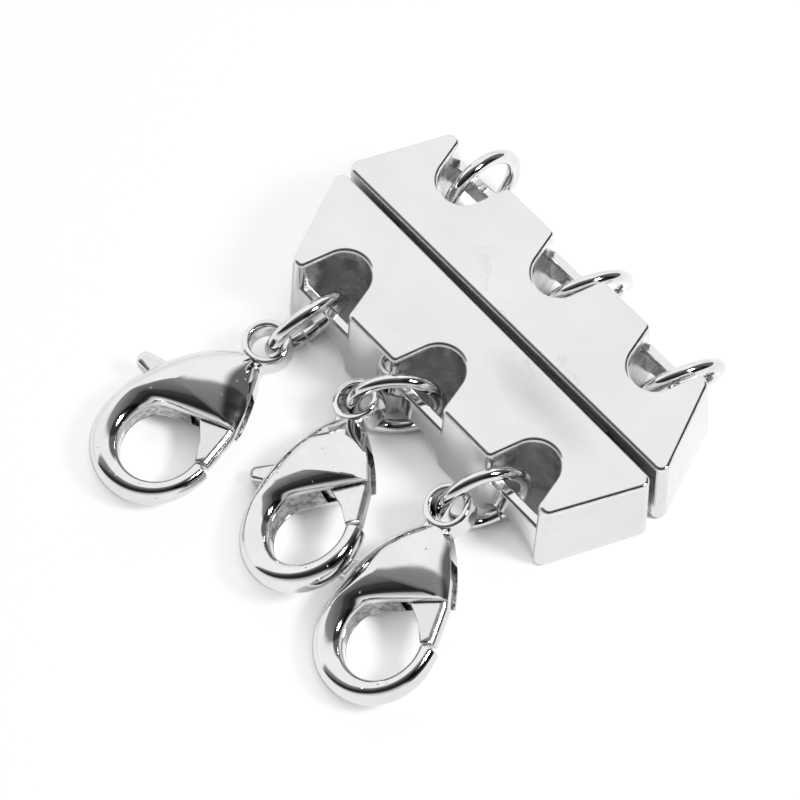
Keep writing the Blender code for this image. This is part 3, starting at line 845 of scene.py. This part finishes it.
def claw_sections():
    """Outer point, inner point, crown and lip heights and hook share of each section, from neck to nose."""
    hook_centre = Vector((HOOK_X, 0))
    hole_centre = Vector((HOOK_X, HOLE_Y))
    outers, inners, crowns, lips, hooks = [], [], [], [], []
    for index in range(DOME_SECTIONS):
        share = index / (DOME_SECTIONS - 1)
        outers.append(thumb_side_point(between(NECK_X, DOME_OUTER_END_X, share)))
        inners.append(gate_side_point(between(NECK_X, RIM_CORNER_X, share)))
        rise = math.sin(math.pi / 2 * min(1.0, DOME_RISE_RATE * share))
        crowns.append(between(NECK_HALF_THICK, DOME_HALF, rise))
        lips.append(between(NECK_LIP_HALF, LIP_HALF, rise))
        hooks.append(0.0)
    corner = len(inners) - 1
    rim_corner = inners[-1]
    rim_end = on_ellipse(hole_centre, HOLE, HOLE_ANGLES[0])
    hook_start = on_ellipse(hook_centre, HOOK_OUTER, HOOK_ANGLES[0])
    for index in range(1, RIM_SECTIONS):
        share = index / RIM_SECTIONS
        outers.append(thumb_side_point(between(DOME_OUTER_END_X, hook_start.x, share)))
        inners.append(rim_corner.lerp(rim_end, share))
        crowns.append(DOME_HALF + (HOOK_HALF_THICK - DOME_HALF) * share * RIM_DROP)
        lips.append(LIP_HALF)
        hooks.append(RIM_HOOK_SHARE * share)
    for index in range(HOOK_SECTIONS + 1):
        share = index / HOOK_SECTIONS
        outer = on_ellipse(hook_centre, HOOK_OUTER, between(*HOOK_ANGLES, share))
        inners.append(on_ellipse(hole_centre, HOLE, between(*HOLE_ANGLES, share)))
        outers.append(outer.lerp(inners[-1], NOSE_TAPER * share ** NOSE_TAPER_POWER))
        fall = max(0.0, 1 - HOOK_FALL_RATE * share) ** 2
        crown = HOOK_HALF_THICK + (DOME_HALF - HOOK_HALF_THICK) * RIM_DROP_LEFT * fall
        crowns.append(crown + (NOSE_HALF_THICK - HOOK_HALF_THICK) * share ** NOSE_THIN_POWER)
        lips.append(between(HOOK_LIP_HALF, LIP_HALF, fall))
        hooks.append(1 - (1 - RIM_HOOK_SHARE) * fall)
    outers = faired(outers, OUTLINE_FAIRING)
    inners = faired(inners, RIM_FAIRING, (corner,))
    crowns = faired(crowns, CROWN_FAIRING)
    lips = faired(lips, LIP_FAIRING)
    hooks = faired(hooks, LIP_FAIRING)
    return list(zip(outers, inners, crowns, lips, hooks))


def half_section(crown, lip, hook, crown_share):
    """Upper half of a section as (share of the width, height), from the outer edge to the lip."""
    points = []
    for step in range(OUTER_STEPS):
        angle = math.pi / 2 * step / OUTER_STEPS
        points.append((crown_share * (1 - math.cos(angle)), crown * math.sin(angle)))
    power = between(DOME_FALL_POWER, HOOK_FALL_POWER, hook)
    root = 1 / between(DOME_FALL_ROOT, HOOK_FALL_ROOT, hook)
    for step in range(INNER_STEPS):
        way = math.sin(math.pi / 2 * step / INNER_STEPS)
        height = lip + (crown - lip) * (1 - way ** power) ** root
        points.append((crown_share + (1 - crown_share) * way, height))
    return points


def section_points(outer, inner, crown, lip, hook, crown_share):
    """One section: over the crown to a rounded lip, down the wall and back underneath."""
    width = (inner - outer).length
    upper = half_section(crown, lip, hook, crown_share)
    for step in range(LIP_STEPS + 1):
        angle = math.pi / 2 * step / LIP_STEPS
        share = 1 - LIP_ROUNDING / width * (1 - math.sin(angle))
        upper.append((share, lip - LIP_ROUNDING * (1 - math.cos(angle))))
    lower = [(share, -height) for share, height in reversed(upper[1:])]
    points = []
    for share, height in upper + lower:
        place = outer.lerp(inner, share)
        points.append(Vector((place.x, place.y, height)))
    return points


def nose_ring(shape, ring, share):
    """A slightly smaller copy of the last section, a step further on, to round the nose."""
    middle = sum((vert.co for vert in ring), Vector()) / len(ring)
    width = ring[0].co - ring[len(ring) // 2].co
    onward = Vector((0, 0, 1)).cross(width).normalized()
    onward *= -1 if onward.x > 0 else 1
    return [shape.verts.new(middle + (vert.co - middle) * share + onward * NOSE_STEP) for vert in ring]


def claw_shell(metal, wall):
    """The claw's dome and hook as one strip of rounded sections, with its wall in a rougher finish."""
    shape = bmesh.new()
    rings = []
    for index, (outer, inner, crown, lip, hook) in enumerate(claw_sections()):
        crown_share = between(NECK_CROWN_SHARE, CROWN_SHARE, min(1.0, index / DOME_SECTIONS))
        crown_share += (HOOK_CROWN_SHARE - CROWN_SHARE) * hook
        points = section_points(outer, inner, crown, lip, hook, crown_share)
        rings.append([shape.verts.new(point) for point in points])
    for share in NOSE_ROUNDING:
        rings.append(nose_ring(shape, rings[-1], share))
    faces = bridge_rings(shape, rings)
    sides = len(rings[0])
    wall_side = OUTER_STEPS + INNER_STEPS + LIP_STEPS
    hook_start = DOME_SECTIONS + RIM_SECTIONS + HOOK_SECTIONS // 4
    for index, face in enumerate(faces[:sides * (len(rings) - 1)]):
        if index % sides == wall_side and DOME_SECTIONS - 1 <= index // sides < hook_start:
            face.material_index = WALL_SLOT
    item = object_from_bmesh("claw_shell", shape, metal)
    item.data.materials.append(wall)
    return item


def eye_ring(material):
    shape = bmesh.new()
    rings = []
    for step in range(EYE_STEPS):
        angle = 2 * math.pi * step / EYE_STEPS
        ring = []
        for corner in range(EYE_WIRE_STEPS):
            turn = 2 * math.pi * corner / EYE_WIRE_STEPS
            reach = EYE_RADIUS + EYE_WALL * rounded_power(math.cos(turn), EYE_ROUNDNESS)
            height = EYE_HALF_THICK * rounded_power(math.sin(turn), EYE_ROUNDNESS)
            ring.append(shape.verts.new((reach * math.cos(angle), reach * math.sin(angle), height)))
        rings.append(ring)
    bridge_rings(shape, rings, closed=True)
    bmesh.ops.translate(shape, vec=EYE_CENTRE, verts=shape.verts)
    return object_from_bmesh("eye", shape, material)


def flat_plate(name, outline, half_thick, material):
    shape = bmesh.new()
    rings = [[shape.verts.new((point.x, point.y, height)) for point in outline]
             for height in (-half_thick, half_thick)]
    bridge_rings(shape, rings)
    return object_from_bmesh(name, shape, material)


def neck_web(material):
    """The web that carries the neck's sides on to the eye."""
    outline = rounded_outline([
        (0.62, -1.02, 0), (1.0, -0.86, 0.4), (1.6, -1.14, 0), (1.9, -0.9, 0), (1.9, 0.6, 0), (1.6, 0.86, 0),
        (1.0, 0.62, 0.4), (0.62, 0.74, 0),
    ], CORNER_STEPS)
    web = flat_plate("neck_web", outline, NECK_WEB_HALF_THICK, material)
    round_edges(web, NECK_WEB_ROUNDING)
    return web


def slot_outline():
    """Plan of the slot that the lever turns in, open to both sides of the claw and to its hole."""
    return [Vector(point) for point in (
        (2.2, 3.4), (2.2, 0.0), (1.9, -1.6), (1.9, -3.6), (5.85, -4.4), (5.6, -2.6), (5.36, -1.2),
        (5.36, 0.2), (6.4, 1.0), (6.4, 3.4),
    )]


def claw_mesh(metal, wall):
    shell = claw_shell(metal, wall)
    eye = eye_ring(metal)
    slot = flat_plate("slot", slot_outline(), SLOT_HALF_THICK, wall)
    web = neck_web(metal)
    combine(shell, eye, "UNION")
    combine(shell, web, "UNION")
    combine(shell, slot, "DIFFERENCE")
    mesh = smooth_mesh(shell, "claw", CLAW_SHARP_ANGLE)
    remove_all([shell, eye, web, slot])
    return mesh


def lever_outline():
    """Plan of the lever: gate tip, round the pivot boss, thumb tab, web and the gate's inner edge."""
    return rounded_outline([
        (GATE_TIP_X - GATE_TIP_LEAN, 3.12, 0), (4.6, 2.72, 0), (3.1, 1.98, 0.4), (2.42, 1.3, 0.4),
        (2.5, 0.3, 0.4), (4.0, -2.3, 0), (4.64, -4.42, 0.4), (5.48, -4.38, 0.4), (5.4, -2.6, 0),
        (5.12, -1.2, 0), (5.28, 0.2, 0), (5.14, 0.66, 0), (6.0, 1.7, 0), (GATE_TIP_X, 2.38, 0),
    ], LEVER_CORNER_STEPS)


def lever_insets(outline):
    """How far each edge point of the lever is rounded: a little all round, and well on its outer side."""
    insets = []
    for index, point in enumerate(outline):
        along = outline[(index + 1) % len(outline)] - outline[index - 1]
        outward = max(0.0, -along.normalized().x)
        edge = between(LEVER_EDGE, LEVER_OUTER_EDGE, min(1.0, outward * LEVER_OUTER_EDGE_RATE) ** 3)
        insets.append(max(edge, TAB_EDGE * min(1.0, max(0.0, TAB_START_Y - point.y))))
    return insets


def lever_mesh(material):
    """Lever plate with its edges rounded, so that its gate carries on the claw's own outline."""
    outline = lever_outline()
    insets = lever_insets(outline)
    unit_inset = [inner - outer for inner, outer in zip(inset_outline(outline, 1.0), outline)]
    shape = bmesh.new()
    rings = []
    for side in (-1, 1):
        for step in range(LEVER_EDGE_STEPS + 1):
            angle = math.pi / 2 * (step if side < 0 else LEVER_EDGE_STEPS - step) / LEVER_EDGE_STEPS
            ring = []
            for point, inset, inward in zip(outline, insets, unit_inset):
                place = point + inward * inset * (1 - math.sin(angle))
                drop = min(inset, LEVER_HALF_THICK) * (1 - math.cos(angle))
                ring.append(shape.verts.new((place.x, place.y, side * (LEVER_HALF_THICK - drop))))
            rings.append(ring)
    bridge_rings(shape, rings)
    body = object_from_bmesh("lever_plate", shape, material)
    mesh = smooth_mesh(body, "lever", LEVER_SHARP_ANGLE)
    remove_all([body])
    return mesh


def claw_place(origin, heading, pitch, roll):
    turn = Matrix.Rotation(math.radians(heading), 4, "Z")
    turn = turn @ Matrix.Rotation(math.radians(pitch), 4, "Y")
    turn = turn @ Matrix.Rotation(math.radians(roll), 4, "X")
    return Matrix.Translation(origin) @ turn


# Studio

def make_floor():
    """A pale floor that shades softly under the clasp and glows a little elsewhere."""
    shape = bmesh.new()
    corners = ((-1, -1), (1, -1), (1, 1), (-1, 1))
    shape.faces.new([shape.verts.new((x * FLOOR_HALF, y * FLOOR_HALF, -FLOOR_DROP)) for x, y in corners])
    mesh = bpy.data.meshes.new("floor")
    shape.to_mesh(mesh)
    shape.free()
    material = bpy.data.materials.new("pale_floor")
    nodes = NodeTree(material)
    nodes.tree.nodes.remove(nodes.tree.nodes["Principled BSDF"])
    matt = nodes.add("ShaderNodeBsdfDiffuse", {"Color": (FLOOR_GREY, FLOOR_GREY, FLOOR_GREY, 1)})
    glow = nodes.add("ShaderNodeEmission", {"Strength": 1.0})
    path = nodes.add("ShaderNodeLightPath")
    nearness = nodes.add("ShaderNodeAmbientOcclusion", {"Distance": SHADE_REACH}, samples=SHADE_SAMPLES)
    openness = nodes.spread(nearness.outputs["AO"], *SHADE_RANGE, 0.0, FLOOR_GLOW)
    place = nodes.add("ShaderNodeTexCoord").outputs["Object"]
    along = nodes.add("ShaderNodeSeparateXYZ", {0: place}).outputs["X"]
    in_metal = nodes.calculate("MULTIPLY", path.outputs["Is Glossy Ray"],
                               nodes.spread(along, *BRIGHT_END, DIM_FLOOR_SHARE, 1.0))
    seen = nodes.calculate("MAXIMUM", in_metal, path.outputs["Is Camera Ray"])
    share = nodes.calculate("MULTIPLY", seen, openness)
    mix = nodes.add("ShaderNodeMixShader", {"Fac": share, 1: matt.outputs[0], 2: glow.outputs[0]})
    nodes.tree.links.new(mix.outputs[0], nodes.tree.nodes["Material Output"].inputs["Surface"])
    mesh.materials.append(material)
    linked_object("floor", mesh)


def make_studio():
    """A bright tent behind and above the clasp, dark on the side that the camera stands."""
    world = bpy.data.worlds.new("studio")
    bpy.context.scene.world = world
    nodes = NodeTree(world)
    direction = nodes.add("ShaderNodeTexCoord").outputs["Generated"]
    ahead = nodes.vector("DOT_PRODUCT", direction, toward(CAMERA_AZIMUTH, 0))
    height = nodes.add("ShaderNodeSeparateXYZ", {0: direction}).outputs["Z"]
    tilt = nodes.calculate("ARCTAN2", ahead, height)
    ramp = nodes.add("ShaderNodeValToRGB", {"Fac": nodes.spread(tilt, -math.pi / 2, math.pi / 2, 0.0, 1.0)})
    ramp.color_ramp.interpolation = "EASE"
    elements = ramp.color_ramp.elements
    while len(elements) < len(STUDIO_LEVELS):
        elements.new(0.5)
    for element, (degrees, _) in zip(elements, STUDIO_LEVELS):
        element.position = (degrees + 90) / 180
    for element, (_, level) in zip(elements, STUDIO_LEVELS):
        element.color = (level, level, level, 1)
    beside = nodes.vector("DOT_PRODUCT", direction, toward(DARK_SIDE_AZIMUTH, DARK_SIDE_ELEVATION))
    reach = math.cos(math.radians(DARK_SIDE_REACH))
    core = math.cos(math.radians(DARK_SIDE_CORE))
    shade = nodes.spread(beside, reach, core, 1.0, DARK_SIDE_LEVEL, interpolation_type="SMOOTHSTEP")
    background = nodes.tree.nodes["Background"]
    nodes.tree.links.new(ramp.outputs["Color"], background.inputs["Color"])
    nodes.tree.links.new(shade, background.inputs["Strength"])


def aim_at_clasp(item, azimuth, elevation, distance):
    """Put a light or camera at a distance in metres from the place that the camera looks at."""
    back = toward(azimuth, elevation)
    place = SEAM_MIDDLE + CAMERA_TARGET * MM + back * distance
    item.matrix_world = Matrix.Translation(place) @ back.to_track_quat("Z", "Y").to_matrix().to_4x4()


def make_key_light():
    data = bpy.data.lights.new("key", "AREA")
    data.shape = "DISK"
    data.size = KEY_SIZE
    data.energy = KEY_POWER
    aim_at_clasp(linked_object("key", data), KEY_AZIMUTH, KEY_ELEVATION, KEY_DISTANCE)


def make_camera():
    data = bpy.data.cameras.new("camera")
    data.lens = CAMERA_LENS
    data.sensor_width = SENSOR_WIDTH
    data.clip_start = CLIP_START
    data.clip_end = CLIP_END
    item = linked_object("camera", data)
    aim_at_clasp(item, CAMERA_AZIMUTH, CAMERA_ELEVATION, CAMERA_DISTANCE * MM)
    bpy.context.scene.camera = item


def build():
    bar_metal = plated_bar_material()
    claw_metal = plated_claw_material()
    wall_metal = cast_wall_material()
    lever_metal = satin_lever_material()
    wire_metal = plated_wire_material()
    magnet_metal = lined_magnet_material()

    bar = bar_mesh(bar_metal, cloudy_lightened_notch_material(), ground_seam_material(), burnished_highlight_edge_material())
    finished_piece("front_bar_plated", bar, front_place(), "front_half", "bar_metal", "front_bar")
    finished_piece("back_bar_plated", bar, back_place(), "back_half", "bar_metal", "back_bar")
    for node in ("front_magnet", "back_magnet"):
        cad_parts[node].data.materials.clear()
        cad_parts[node].data.materials.append(magnet_metal)

    links = link_tree(wire_metal)
    for side, rings in (("front", FRONT_RINGS), ("back", BACK_RINGS)):
        row = ring_row_mesh(side + "_rings", rings, links)
        names = ["%s_ring_%d" % (side, index + 1) for index in range(len(rings))]
        finished_piece(side + "_jump_rings", row, Matrix(), side + "_half", "ring_metal", *names)

    claw = claw_mesh(claw_metal, wall_metal)
    lever = lever_mesh(lever_metal)
    for index, pose in enumerate(CLAWS):
        number = index + 1
        place = claw_place(*pose)
        finished_piece("claw_%d_plated" % number, claw, place, "front_half", "claw_metal",
                       "claw_%d" % number)
        finished_piece("lever_%d_plated" % number, lever, place, "gate_%d" % number, "lever_metal",
                       "lever_%d" % number)

    make_floor()
    make_studio()
    make_key_light()
    make_camera()
    bpy.context.scene.view_settings.view_transform = "Standard"


build()
